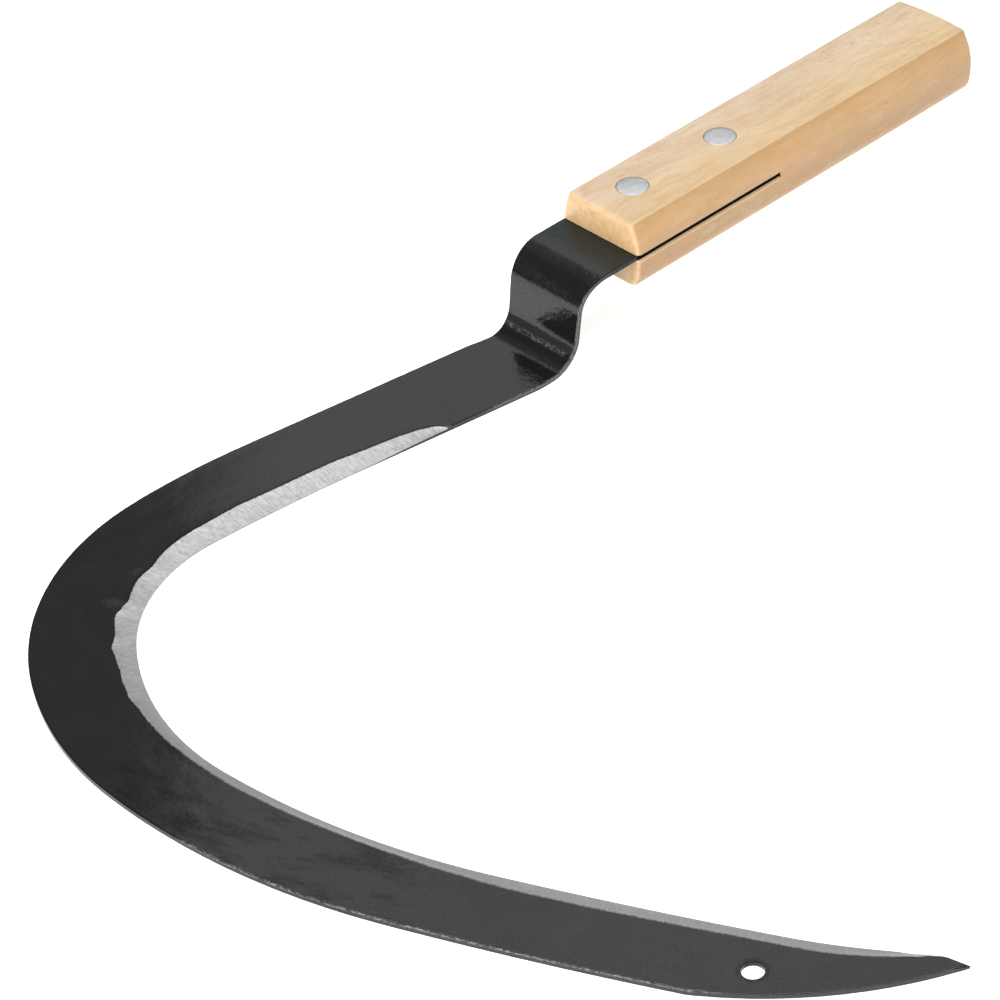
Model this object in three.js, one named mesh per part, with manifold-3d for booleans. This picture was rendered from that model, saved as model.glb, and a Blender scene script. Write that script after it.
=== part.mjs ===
// Hand sickle: a flat curved blade whose cranked tang is riveted into a sawn slot in a wooden handle.
// Millimetres, +Z up. The blade lies flat on z = 0 and +X runs along the handle towards its butt.

import * as THREE from "three";
import { mergeVertices } from "three/addons/utils/BufferGeometryUtils.js";
import Module from "manifold-3d";

// Steel strip
const thickness = 1.6;
const tangWidth = 31;
const tangLength = 59.5; // inside the handle
const tangTop = 27.1; // height of the tang's upper face above the blade's underside

// Crank between tang and blade, given along the strip's upper face
const crankStart = 12.7; // flat strip showing in front of the handle
const upperBendRadius = 11.5;
const lowerBendRadius = 9.1;
const riserAngle = THREE.MathUtils.degToRad(80); // from level

// The strip draws in a little on both sides as it goes down the crank.
const waistX = -28.6;
const waistLength = 30;
const waistDepth = 1.35;

// Back of the blade and its cutting edge, each a walk from the tang's inner end to the point:
// straight runs, and arcs that turn left by so many degrees (right where negative)
const spineWalk = [
  { run: 91.2 },
  { radius: 60, turn: -9 },
  { run: 80 },
  { radius: 220, turn: 10 },
  { radius: 82.5, turn: 58.4 },
  { radius: 106, turn: 29 },
  { radius: 216, turn: 24.6 },
  { radius: 1090, turn: 4.2 },
  { radius: 13, turn: 7.8 },
  { radius: 127, turn: 31.9 },
];
const edgeWalk = [
  { run: 91.7 },
  { radius: 40, turn: -9 },
  { run: 66.6 },
  { radius: 612, turn: 4.7 },
  { radius: 51.1, turn: 56.7 },
  { radius: 83.8, turn: 42.3 },
  { radius: 244, turn: 19.9 },
  { radius: 1420, turn: 3.1 },
  { radius: 178, turn: 8.1 },
  { radius: 83, turn: -15.4 },
];
const walkStep = 4; // longest chord

// Ground edge on the upper face, carried on past the point: distance along the edge walk,
// width of the ground strip, and the thickness it leaves at the edge itself
const pastPoint = 8;
const edgeLand = 0.35;
const grind = [
  { at: 132, width: 0.4, land: thickness + 0.05 },
  { at: 136, width: 3, land: 1.4 },
  { at: 142, width: 4.8, land: 1.15 },
  { at: 156, width: 6.2, land: 0.65 },
  { at: 168, width: 6.9, land: edgeLand },
  { at: 182, width: 7.5, land: edgeLand },
  { at: 228, width: 7.3, land: edgeLand },
  { at: 250, width: 6.1, land: edgeLand },
  { at: 292, width: 5.8, land: edgeLand },
  { at: 324, width: 4, land: edgeLand },
  { at: 378, width: 3.3, land: edgeLand },
  { at: 396, width: 3.6, land: edgeLand },
  { at: 426, width: 4.9, land: edgeLand },
  { at: 510, width: 4.1, land: edgeLand },
  { at: 524, width: 2.2, land: edgeLand },
  { at: 540, width: 2.2, land: edgeLand },
];

// Hanging hole near the point, measured from the middle of the handle's front face
const hangHole = new THREE.Vector2(-175, -230.7);
const hangHoleRadius = 3;

// Handle
const handleLength = 149;
const handleThickness = 22.6;
const topWidth = 26.8; // between the crisp upper edges
const widest = 32.5;
const bottomWidth = 22.4; // flat between the rounded lower corners
const cornerWidth = 30.6; // where the sides meet the lower corners
const cornerHeight = 3.5; // of the lower corners
const cornerLean = 1.5; // how far in a side would come over that height
const upperPull = 5.4; // height of the control point of a side's upper curve
const lowerPull = 4.7;
const endRounding = 1.6;
const slotLength = 60.9;
const slotPlay = 0.15; // each side of the tang
const tangMiddle = tangTop - thickness / 2;
const handleMiddle = 25.8; // the slot is a little above the middle of the block

// Rivets: solid, with a flush countersunk head at each face, and set a little off the handle's middle
const rivetPlaces = {
  rivet_front: new THREE.Vector2(15.4, 1.2),
  rivet_rear: new THREE.Vector2(52.4, 0.7),
};
const headRadius = 5;
const headRim = 0.8; // straight wall of a head
const headDepth = 2.8;
const rivetRadius = 3;
const rivetPlay = 0.25;
const headDome = 0.25;

const roundSides = 48;
const bendSegments = 8;
const clearance = 1; // how far a cutting solid runs past what it cuts

const wasm = await Module();
wasm.setup();

function toSolid(geometry) {
  const bare = geometry.clone();
  bare.deleteAttribute("normal");
  bare.deleteAttribute("uv");
  const merged = mergeVertices(bare, 1e-4);
  const mesh = new wasm.Mesh({
    numProp: 3,
    vertProperties: new Float32Array(merged.attributes.position.array),
    triVerts: new Uint32Array(merged.index.array),
  });
  return new wasm.Manifold(mesh);
}

function toGeometry(solid) {
  const { vertProperties, triVerts } = solid.getMesh();
  const geometry = new THREE.BufferGeometry();
  geometry.setAttribute("position", new THREE.BufferAttribute(vertProperties, 3));
  geometry.setIndex(new THREE.BufferAttribute(triVerts, 1));
  geometry.computeVertexNormals();
  return geometry;
}

// Points of a walk that starts at (x, y) heading along -X, each with its heading and distance.
function followWalk(x, y, moves) {
  let heading = Math.PI;
  let distance = 0;
  const stations = [{ x, y, heading, distance }];
  const step = (chord, turn) => {
    heading += turn / 2;
    x += chord * Math.cos(heading);
    y += chord * Math.sin(heading);
    heading += turn / 2;
    distance += chord;
    stations.push({ x, y, heading, distance });
  };
  for (const { run, radius, turn = 0 } of moves) {
    const angle = THREE.MathUtils.degToRad(turn);
    const length = run ?? Math.abs(radius * angle);
    const count = Math.ceil(length / walkStep);
    const chord = run ? run / count : 2 * radius * Math.sin(Math.abs(angle) / count / 2);
    for (let i = 0; i < count; i++) step(chord, angle / count);
  }
  return stations;
}

function stationAt(stations, distance) {
  const next = Math.max(1, stations.findIndex((station) => station.distance >= distance));
  const from = stations[next - 1];
  const to = stations[next];
  const part = (distance - from.distance) / (to.distance - from.distance);
  return {
    x: THREE.MathUtils.lerp(from.x, to.x, part),
    y: THREE.MathUtils.lerp(from.y, to.y, part),
    heading: THREE.MathUtils.lerp(from.heading, to.heading, part),
  };
}

// Closed solid through a list of rings that have the same number of points.
function loft(rings) {
  const size = rings[0].length;
  const index = [];
  for (let ring = 0; ring + 1 < rings.length; ring++) {
    for (let i = 0; i < size; i++) {
      const a = ring * size + i;
      const b = ring * size + ((i + 1) % size);
      index.push(a, b, b + size, a, b + size, a + size);
    }
  }
  const last = (rings.length - 1) * size;
  for (let i = 1; i + 1 < size; i++) {
    index.push(0, i + 1, i);
    index.push(last, last + i, last + i + 1);
  }
  const geometry = new THREE.BufferGeometry().setFromPoints(rings.flat());
  geometry.setIndex(index);
  return geometry;
}

function mesh(name, geometry, look) {
  const part = new THREE.Mesh(geometry, new THREE.MeshStandardMaterial(look));
  part.name = name;
  return part;
}

// Side view of the strip, as a shape in X and Z: level tang, upper bend, riser, lower bend, level blade.
function crankedStrip(bladeEnd) {
  const upperDrop = upperBendRadius * (1 - Math.cos(riserAngle));
  const lowerDrop = lowerBendRadius * (1 - Math.cos(riserAngle));
  const riserRun = (tangTop - thickness - upperDrop - lowerDrop) / Math.tan(riserAngle);
  const upperCentre = new THREE.Vector2(-crankStart, tangTop - upperBendRadius);
  const lowerX = upperCentre.x - (upperBendRadius + lowerBendRadius) * Math.sin(riserAngle) - riserRun;
  const lowerCentre = new THREE.Vector2(lowerX, thickness + lowerBendRadius);
  const level = Math.PI / 2;
  const shape = new THREE.Shape();
  shape.moveTo(tangLength, tangTop);
  shape.lineTo(upperCentre.x, tangTop);
  shape.absarc(upperCentre.x, upperCentre.y, upperBendRadius, level, level + riserAngle, false);
  shape.absarc(lowerCentre.x, lowerCentre.y, lowerBendRadius, riserAngle - level, -level, true);
  shape.lineTo(bladeEnd, thickness);
  shape.lineTo(bladeEnd, 0);
  shape.absarc(lowerCentre.x, lowerCentre.y, lowerBendRadius + thickness, -level, riserAngle - level, false);
  shape.absarc(
    upperCentre.x,
    upperCentre.y,
    upperBendRadius - thickness,
    level + riserAngle,
    level,
    true,
  );
  shape.lineTo(tangLength, tangTop - thickness);
  return shape;
}

function groundOff(edge) {
  const rings = grind.flatMap((from, i) => {
    const to = grind[i + 1];
    if (!to) return [from];
    const count = Math.ceil((to.at - from.at) / walkStep);
    return Array.from({ length: count }, (_, j) => ({
      at: THREE.MathUtils.lerp(from.at, to.at, j / count),
      width: THREE.MathUtils.lerp(from.width, to.width, j / count),
      land: THREE.MathUtils.lerp(from.land, to.land, j / count),
    }));
  });
  return loft(
    rings.map(({ at, width, land }) => {
      const { x, y, heading } = stationAt(edge, at);
      const inward = new THREE.Vector2(Math.sin(heading), -Math.cos(heading));
      const place = (depth, z) => new THREE.Vector3(x + inward.x * depth, y + inward.y * depth, z);
      const slope = Math.max(0, thickness - land) / width;
      const inner = width + clearance;
      return [
        place(-clearance, thickness + 2 * clearance),
        place(inner, thickness + 2 * clearance),
        place(inner, land + slope * inner),
        place(-clearance, land - slope * clearance),
      ];
    }),
  );
}

function verticalHole(x, y, radius, bottom, top) {
  const hole = new THREE.CylinderGeometry(radius, radius, top - bottom, roundSides);
  hole.rotateX(Math.PI / 2);
  hole.translate(x, y, (top + bottom) / 2);
  return toSolid(hole);
}

function makeBlade() {
  const spine = followWalk(tangLength, tangWidth / 2, spineWalk);
  const edge = followWalk(tangLength, -tangWidth / 2, edgeWalk);
  const outline = new THREE.Shape([...spine, ...edge.toReversed()].map(({ x, y }) => {
    const fromWaist = Math.min(1, (2 * Math.abs(x - waistX)) / waistLength);
    const drawnIn = waistDepth * Math.cos((fromWaist * Math.PI) / 2) ** 2;
    return new THREE.Vector2(x, y - Math.sign(y) * drawnIn);
  }));
  const reach = new THREE.Box2().setFromPoints(outline.getPoints());

  const plan = new THREE.ExtrudeGeometry(outline, {
    depth: tangTop + 2 * clearance,
    bevelEnabled: false,
  });
  plan.translate(0, 0, -clearance);

  const side = new THREE.ExtrudeGeometry(crankedStrip(reach.min.x - clearance), {
    depth: reach.max.y - reach.min.y + 2 * clearance,
    bevelEnabled: false,
    curveSegments: bendSegments,
  });
  side.rotateX(Math.PI / 2);
  side.translate(0, reach.max.y + clearance, 0);

  let blade = toSolid(side).intersect(toSolid(plan));
  const edgeAndBeyond = followWalk(tangLength, -tangWidth / 2, [...edgeWalk, { run: pastPoint }]);
  blade = blade.subtract(toSolid(groundOff(edgeAndBeyond)));
  blade = blade.subtract(
    verticalHole(hangHole.x, hangHole.y, hangHoleRadius, -clearance, thickness + clearance),
  );
  for (const { x, y } of Object.values(rivetPlaces)) {
    const bottom = tangTop - thickness - clearance;
    blade = blade.subtract(verticalHole(x, y, rivetRadius + rivetPlay, bottom, tangTop + clearance));
  }
  return toGeometry(blade);
}

// Handle's cross-section: flat top and bottom, bulging sides, rounded lower corners.
function handleSection() {
  const top = handleThickness / 2;
  const bottom = -top;
  const side = widest / 2;
  const shape = new THREE.Shape();
  shape.moveTo(-topWidth / 2, top);
  shape.quadraticCurveTo(-side, upperPull, -side, 0);
  shape.quadraticCurveTo(-side, -lowerPull, -cornerWidth / 2, bottom + cornerHeight);
  shape.quadraticCurveTo(-cornerWidth / 2 + cornerLean, bottom, -bottomWidth / 2, bottom);
  shape.lineTo(bottomWidth / 2, bottom);
  shape.quadraticCurveTo(cornerWidth / 2 - cornerLean, bottom, cornerWidth / 2, bottom + cornerHeight);
  shape.quadraticCurveTo(side, -lowerPull, side, 0);
  shape.quadraticCurveTo(side, upperPull, topWidth / 2, top);
  return shape;
}

// Half profile of a rivet, or of its hole when it is given some play.
function rivetProfile(play, overrun) {
  const faceHeight = handleThickness / 2 + overrun;
  const rimHeight = handleThickness / 2 - headRim;
  const neckHeight = handleThickness / 2 - headDepth;
  return [
    new THREE.Vector2(0, -faceHeight),
    new THREE.Vector2(headRadius + play, -faceHeight),
    new THREE.Vector2(headRadius + play, -rimHeight + play),
    new THREE.Vector2(rivetRadius + play, -neckHeight + play),
    new THREE.Vector2(rivetRadius + play, neckHeight - play),
    new THREE.Vector2(headRadius + play, rimHeight - play),
    new THREE.Vector2(headRadius + play, faceHeight),
    new THREE.Vector2(0, faceHeight),
  ];
}

function makeHandle() {
  const block = new THREE.ExtrudeGeometry(handleSection(), {
    depth: handleLength - 2 * endRounding,
    bevelThickness: endRounding,
    bevelSize: endRounding,
    bevelOffset: -endRounding,
    bevelSegments: 4,
    curveSegments: 8,
  });
  const sectionAxes = new THREE.Matrix4().makeBasis(
    new THREE.Vector3(0, 1, 0),
    new THREE.Vector3(0, 0, 1),
    new THREE.Vector3(1, 0, 0),
  );
  block.applyMatrix4(sectionAxes);
  block.translate(endRounding, 0, handleMiddle);

  const slotHeight = thickness + 2 * slotPlay;
  const slot = new THREE.BoxGeometry(slotLength + clearance, 2 * widest, slotHeight);
  slot.translate((slotLength - clearance) / 2, 0, tangMiddle);

  let handle = toSolid(block).subtract(toSolid(slot));
  for (const { x, y } of Object.values(rivetPlaces)) {
    const hole = new THREE.LatheGeometry(rivetProfile(rivetPlay, clearance), roundSides);
    hole.rotateX(Math.PI / 2);
    hole.translate(x, y, handleMiddle);
    handle = handle.subtract(toSolid(hole));
  }
  return toGeometry(handle);
}

function makeRivet() {
  const profile = rivetProfile(0, 0);
  const rounded = [...profile];
  rounded[0] = new THREE.Vector2(0, profile[0].y - headDome);
  rounded[profile.length - 1] = new THREE.Vector2(0, profile[profile.length - 1].y + headDome);
  const rivet = new THREE.LatheGeometry(rounded, roundSides);
  rivet.rotateX(Math.PI / 2);
  return rivet;
}

const steelLook = { color: 0x3a3c3d, roughness: 0.42, metalness: 0.6 };
const woodLook = { color: 0xdcb88a, roughness: 0.5, metalness: 0 };
const aluminiumLook = { color: 0xcfd1d4, roughness: 0.45, metalness: 0.9 };

const sickle = new THREE.Group();
sickle.add(mesh("blade", makeBlade(), steelLook));
sickle.add(mesh("handle", makeHandle(), woodLook));
for (const [name, { x, y }] of Object.entries(rivetPlaces)) {
  const rivet = mesh(name, makeRivet(), aluminiumLook);
  rivet.position.set(x, y, handleMiddle);
  sickle.add(rivet);
}

// The frame's origin is under the middle of the whole tool.
const box = new THREE.Box3().setFromObject(sickle);
const middle = box.getCenter(new THREE.Vector3());
sickle.position.set(-middle.x, -middle.y, -box.min.z);

export default sickle;
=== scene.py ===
"""Hand sickle: a blackened steel blade with a ground edge, riveted into a lacquered wooden handle.

Shapes are worked out in millimetres from the middle of the handle's front face, at the height of
the blade's underside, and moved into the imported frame, in metres, when a mesh is made.
"""

import math
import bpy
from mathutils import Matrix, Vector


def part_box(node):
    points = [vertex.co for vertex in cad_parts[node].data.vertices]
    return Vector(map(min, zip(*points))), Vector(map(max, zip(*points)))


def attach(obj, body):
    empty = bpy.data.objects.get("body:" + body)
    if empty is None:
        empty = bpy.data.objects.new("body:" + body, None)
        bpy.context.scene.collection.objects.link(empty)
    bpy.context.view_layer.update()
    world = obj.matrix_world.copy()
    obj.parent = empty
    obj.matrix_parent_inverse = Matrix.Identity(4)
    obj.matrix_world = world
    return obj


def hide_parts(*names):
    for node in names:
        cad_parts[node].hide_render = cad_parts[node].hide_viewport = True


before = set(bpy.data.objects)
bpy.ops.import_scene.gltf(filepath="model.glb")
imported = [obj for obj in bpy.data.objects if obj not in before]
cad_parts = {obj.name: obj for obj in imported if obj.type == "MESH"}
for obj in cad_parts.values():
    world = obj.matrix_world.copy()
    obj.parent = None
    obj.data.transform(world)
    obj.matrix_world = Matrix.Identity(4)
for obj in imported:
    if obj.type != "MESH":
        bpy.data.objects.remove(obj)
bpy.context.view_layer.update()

from types import SimpleNamespace

import bpy
import numpy as np
from mathutils import Matrix, Vector, noise
from mathutils.kdtree import KDTree

MM = 0.001
handle_low, handle_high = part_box("handle")
blade_low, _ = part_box("blade")
ORIGIN = Vector((handle_low.x, (handle_low.y + handle_high.y) / 2, blade_low.z))

# Steel strip
THICKNESS = 1.6
TANG_WIDTH = 31.0
TANG_LENGTH = 59.5
TANG_TOP = 27.1

# Crank between tang and blade
CRANK_START = 12.7
UPPER_BEND = 11.5
LOWER_BEND = 9.1
RISER_ANGLE = math.radians(80)
WAIST_X = -28.6
WAIST_LENGTH = 30.0
WAIST_DEPTH = 1.35

# Back of the blade and cutting edge, each a walk from the tang's inner end to the point:
# (straight run, radius, left turn in degrees)
SPINE_WALK = [
    (91.2, 0, 0),
    (0, 60, -9),
    (80, 0, 0),
    (0, 220, 10),
    (0, 82.5, 58.4),
    (0, 106, 29),
    (0, 216, 24.6),
    (0, 1090, 4.2),
    (0, 13, 7.8),
    (0, 127, 31.9),
]
EDGE_WALK = [
    (91.7, 0, 0),
    (0, 40, -9),
    (66.6, 0, 0),
    (0, 612, 4.7),
    (0, 51.1, 56.7),
    (0, 83.8, 42.3),
    (0, 244, 19.9),
    (0, 1420, 3.1),
    (0, 178, 8.1),
    (0, 83, -15.4),
]
WALK_STEP = 0.25
STATION_STEP = 0.5
HIDDEN_STEP = 3.0  # inside the handle
BEND_STEPS = 32
RISER_STEPS = 9
BLEND_LENGTH = 40.0  # over which stations turn from square across the shank to nearest points
SMOOTHING_REACH = 10  # stations on each side that even out the spacing along the spine

# Width of the ground strip at distances along the blade, uneven as it was ground by hand
GRIND_WIDTHS = [
    (87.5, 0.3),
    (90, 0.9),
    (92, 2.6),
    (94, 3.4),
    (98, 4.5),
    (104, 5.4),
    (112, 5.9),
    (126, 7.0),
    (144, 7.2),
    (157, 7.8),
    (170, 7.3),
    (180, 6.8),
    (184, 6.3),
    (189, 5.3),
    (195, 6.05),
    (204, 4.95),
    (207, 5.9),
    (210, 6.85),
    (217.5, 5.75),
    (222, 6.7),
    (226, 5.9),
    (232, 5.3),
    (236, 5.55),
    (240, 5.25),
    (242.5, 5.55),
    (249, 4.5),
    (262, 3.9),
    (270, 3.35),
    (278, 3.2),
    (289, 3.5),
    (305, 3.25),
    (322, 3.0),
    (340, 3.2),
    (357, 3.75),
    (374, 4.6),
    (394, 4.6),
    (420, 4.2),
    (438, 4.1),
    (454, 4.45),
    (464, 4.0),
    (472, 3.3),
    (478, 2.3),
    (481, 1.2),
    (485, 0.25),
    (500, 0.2),
]
# Height left at the edge, likewise
EDGE_HEIGHTS = [
    (90, 1.3),
    (92, 1.25),
    (94, 1.2),
    (98, 1.1),
    (104, 0.85),
    (112, 0.65),
    (126, 0.35),
    (478, 0.35),
    (481, 0.9),
    (485, 1.35),
]
BRIGHT_START = 89.2
BRIGHT_END = 477.5
BRIGHT_TAPER = 7.0  # length over which the bright metal narrows to a rounded end
SHARP_FADE = 0.1  # softness of the bright metal's border, half width
SOFT_FADE = 0.55
FADE_CHANGE = (245.0, 275.0)
UNGROUND_CHAMFER = 0.2
GRIND_HOLLOW = 0.06  # deepest, in the middle of the ground strip

POINT_TAPER = 6.0  # length over which the strip thins out at the point
POINT_THICKNESS = 0.3  # left at the very end, as a share of the whole

# Upper face: the upper bend starts gently, and the rest has faint waves and a few dents
BEND_EASE = (11.9, 15.5, 26.0)  # along: the face starts to sink, is lowest, and is true again
EASE_DEPTH = 0.23
WAVE_DEPTH = 0.02
DENTS = [  # along, across, half length, half width, depth
    (192.5, 8.0, 2.0, 1.4, 0.05),
    (205.0, 9.0, 1.6, 3.0, 0.05),
    (99.0, 22.5, 0.9, 0.6, 0.12),
    (103.5, 25.0, 0.7, 0.5, 0.1),
    (101.5, 21.0, 0.5, 0.5, 0.1),
    (348.0, 20.0, 4.0, 3.0, 0.03),
    (321.0, 9.5, 6.0, 2.5, 0.03),
]
SPINE_RIM = 0.17  # rounding of the strip's back corners
RIM_WEAR = 0.1
FACE_STEPS = 14  # across the upper face

# Hanging hole, and the holes that the rivets pass through
HANG_HOLE = (-175.0, -230.7)
HANG_RADIUS = 3.0
BORE_RIM = 0.22
BORE_REACH = 3.0  # of the rivets' bores, above and below the tang's middle
SAME_PLACE = 0.01  # a vertex that moved less than this is still where it was built
CUT_OVERRUN = 1.0  # how far a cutting solid runs past what it cuts

# Handle
HANDLE_LENGTH = (handle_high.x - handle_low.x) / MM
HANDLE_THICKNESS = 22.6
HANDLE_MIDDLE = 25.8
TOP_WIDTH = 26.8  # between the crisp upper edges
EDGE_ROUNDING = 0.32  # of those edges
WIDEST = 32.5
BOTTOM_WIDTH = 22.4  # flat between the rounded lower corners
CORNER_WIDTH = 30.6  # where the sides meet the lower corners
CORNER_HEIGHT = 3.5
CORNER_LEAN = 1.5  # how far in a side would come over that height
UPPER_PULL = 5.4  # heights of the control points of a side's two curves
LOWER_PULL = 4.7
END_ROUNDING = 1.6
END_STEPS = 9
GRIP_STEPS = 40
BUTT_ROUNDING = 1.2  # extra, at the butt's upper corners
BUTT_CORNER_REACH = 6.0
SLOT_LENGTH = 60.9
SLOT_HEIGHT = 1.7
LIP_SLOPE = 0.75  # the slot's lower lips are worn down from the tang's edges outward
SLOT_OVERRUN = (5.0, 10.0)  # of the slot's cutting solid: in front, and beyond the tang's edges
TANG_MIDDLE = TANG_TOP - THICKNESS / 2

# Rivets, and where they are from the middle of the handle's front face
RIVET_PLACES = {"rivet_front": (15.4, 1.2), "rivet_rear": (52.4, 0.7)}
HEAD_RADIUS = 5.0
HEAD_RIM = 0.8
HEAD_DEPTH = 2.8
RIVET_RADIUS = 3.0
RIVET_PLAY = 0.25
RIVET_GAP = 0.12  # shows as a thin dark ring round each head
HEAD_DOME = 0.25
HAMMER_DEPTH = 0.05


# ---------------------------------------------------------------- meshes


def make_object(name, points, faces):
    """A new object from points in millimetres."""
    mesh = bpy.data.meshes.new(name)
    placed = np.asarray(points, float) * MM + np.array(ORIGIN)
    mesh.from_pydata(placed.tolist(), [], faces)
    mesh.validate()
    made = bpy.data.objects.new(name, mesh)
    bpy.context.scene.collection.objects.link(made)
    return made


def loft_faces(rings, size):
    """Quads between closed rings of the same size, and a flat cap at each end."""
    faces = []
    for ring in range(rings - 1):
        for i in range(size):
            a = ring * size + i
            b = ring * size + (i + 1) % size
            faces.append((a, b, b + size, a + size))
    last = (rings - 1) * size
    faces.append(tuple(range(size - 1, -1, -1)))
    faces.append(tuple(last + i for i in range(size)))
    return faces


def lathe(name, profile, centre, segments=96):
    """A closed solid turned about a vertical axis; the profile runs up from the axis and back."""
    x, y, z = centre
    inner = profile[1:-1]
    points = [(x, y, z + profile[0][1])]
    for radius, height in inner:
        for i in range(segments):
            angle = 2 * math.pi * i / segments
            points.append((x + radius * math.cos(angle), y + radius * math.sin(angle), z + height))
    points.append((x, y, z + profile[-1][1]))
    top = len(points) - 1
    faces = []
    for i in range(segments):
        j = (i + 1) % segments
        faces.append((0, 1 + j, 1 + i))
        for ring in range(len(inner) - 1):
            a = 1 + ring * segments
            b = a + segments
            faces.append((a + i, a + j, b + j, b + i))
        last = 1 + (len(inner) - 1) * segments
        faces.append((last + i, last + j, top))
    return make_object(name, points, faces)


def cut(piece, *tools):
    """Takes the tools away from the piece and deletes them."""
    for tool in tools:
        change = piece.modifiers.new("cut", "BOOLEAN")
        change.operation = "DIFFERENCE"
        change.solver = "EXACT"
        change.object = tool
    graph = bpy.context.evaluated_depsgraph_get()
    finished = bpy.data.meshes.new_from_object(piece.evaluated_get(graph))
    piece.modifiers.clear()
    piece.data = finished
    for tool in tools:
        bpy.data.objects.remove(tool)


def smooth(part):
    """Eases a share of the way, 0 to 1, in and out."""
    return part * part * (3 - 2 * part)


def shade(piece, sharp_degrees):
    """Smooth shading that keeps edges with a larger angle sharp."""
    piece.data.shade_smooth()
    piece.data.set_sharp_from_angle(angle=math.radians(sharp_degrees))


# ---------------------------------------------------------------- blade


def follow_walk(x, y, moves):
    """Rows of x, y and distance along a walk that starts heading along -X."""
    heading = math.pi
    distance = 0.0
    rows = [(x, y, distance)]
    for run, radius, turn in moves:
        angle = math.radians(turn)
        length = run or abs(radius * angle)
        count = math.ceil(length / WALK_STEP)
        chord = run / count if run else 2 * radius * math.sin(abs(angle) / count / 2)
        for _ in range(count):
            heading += angle / count / 2
            x += chord * math.cos(heading)
            y += chord * math.sin(heading)
            heading += angle / count / 2
            distance += chord
            rows.append((x, y, distance))
    return np.array(rows)


def draw_in(rows):
    """Narrows the strip to its waist at the crank."""
    share = np.minimum(1, 2 * np.abs(rows[:, 0] - WAIST_X) / WAIST_LENGTH)
    drawn = WAIST_DEPTH * np.cos(share * math.pi / 2) ** 2
    rows[:, 1] -= np.sign(rows[:, 1]) * drawn
    return rows


def crank_profile():
    """Rows of x, height of the strip's middle, tilt and developed length, from the tang's end."""
    half = THICKNESS / 2
    drop = (UPPER_BEND + LOWER_BEND) * (1 - math.cos(RISER_ANGLE))
    riser = (TANG_TOP - THICKNESS - drop) / math.sin(RISER_ANGLE)
    rows = []
    in_handle = np.arange(TANG_LENGTH, 0, -HIDDEN_STEP)
    for x in np.r_[in_handle, np.arange(0, -CRANK_START, -STATION_STEP)]:
        rows.append((x, TANG_TOP - half, 0, -x))
    length = CRANK_START
    radius = UPPER_BEND - half
    for tilt in np.linspace(0, RISER_ANGLE, BEND_STEPS):
        x = -CRANK_START - radius * math.sin(tilt)
        z = TANG_TOP - UPPER_BEND + radius * math.cos(tilt)
        rows.append((x, z, tilt, length + radius * tilt))
    x, z, _, length = rows[-1]
    for part in np.linspace(0, riser, RISER_STEPS)[1:]:
        x_down = x - part * math.cos(RISER_ANGLE)
        rows.append((x_down, z - part * math.sin(RISER_ANGLE), RISER_ANGLE, length + part))
    x, z, _, length = rows[-1]
    radius = LOWER_BEND + half
    centre_x = x - radius * math.sin(RISER_ANGLE)
    centre_z = z + radius * math.cos(RISER_ANGLE)
    for tilt in np.linspace(RISER_ANGLE, 0, BEND_STEPS)[1:]:
        turned = radius * (RISER_ANGLE - tilt)
        x = centre_x + radius * math.sin(tilt)
        rows.append((x, centre_z - radius * math.cos(tilt), tilt, length + turned))
    return np.array(rows)


def blade_stations():
    """Cross-sections of the strip from the tang's inner end to the point."""
    spine = draw_in(follow_walk(TANG_LENGTH, TANG_WIDTH / 2, SPINE_WALK))
    edge = draw_in(follow_walk(TANG_LENGTH, -TANG_WIDTH / 2, EDGE_WALK))
    crank = crank_profile()
    flat_x = crank[-1, 0]

    def on_shank(walk, x, column):
        """A column of the walk where it first passes x, between the tang and the curve."""
        front = walk[: int(np.argmax(walk[:, 0] < 2 * flat_x))]
        return np.interp(-x, -front[:, 0], front[:, column])

    def plan_after(walk, distance):
        return np.stack([np.interp(distance, walk[:, 2], walk[:, axis]) for axis in (0, 1)], -1)

    start = on_shank(edge, flat_x, 2)
    distance = np.arange(start + STATION_STEP, edge[-1, 2], STATION_STEP)
    on_edge = plan_after(edge, distance)
    sparse = spine[::4]
    gaps = ((on_edge[:, None, :] - sparse[None, :, :2]) ** 2).sum(-1)
    nearest = np.maximum.accumulate(sparse[gaps.argmin(1), 2])
    share = smooth(np.clip((distance - start) / BLEND_LENGTH, 0, 1))
    square = on_shank(spine, flat_x, 2) + distance - start
    along_spine = np.maximum.accumulate(square * (1 - share) + nearest * share)
    window = np.ones(2 * SMOOTHING_REACH + 1) / (2 * SMOOTHING_REACH + 1)
    smoothed = np.convolve(np.pad(along_spine, SMOOTHING_REACH, "edge"), window, "valid")
    inside = np.arange(len(distance))
    weight = np.clip(np.minimum(inside, inside[::-1]) / SMOOTHING_REACH, 0, 1)
    along_spine = along_spine * (1 - weight) + smoothed * weight

    flat = len(distance)
    x = crank[:, 0]
    crank_edge = np.stack([x, on_shank(edge, x, 1)], -1)
    crank_spine = np.stack([x, on_shank(spine, x, 1)], -1)
    return {
        "edge": np.vstack([crank_edge, on_edge]),
        "spine": np.vstack([crank_spine, plan_after(spine, along_spine)]),
        "middle": np.r_[crank[:, 1], np.full(flat, THICKNESS / 2)],
        "tilt": np.r_[crank[:, 2], np.zeros(flat)],
        "along": np.r_[crank[:, 3], crank[-1, 3] + distance - start],
    }


def eased(at, places, values):
    """Smooth steps between the given values."""
    i = np.clip(np.searchsorted(places, at) - 1, 0, len(places) - 2)
    part = smooth(np.clip((at - places[i]) / (places[i + 1] - places[i]), 0, 1))
    return values[i] * (1 - part) + values[i + 1] * part


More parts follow.
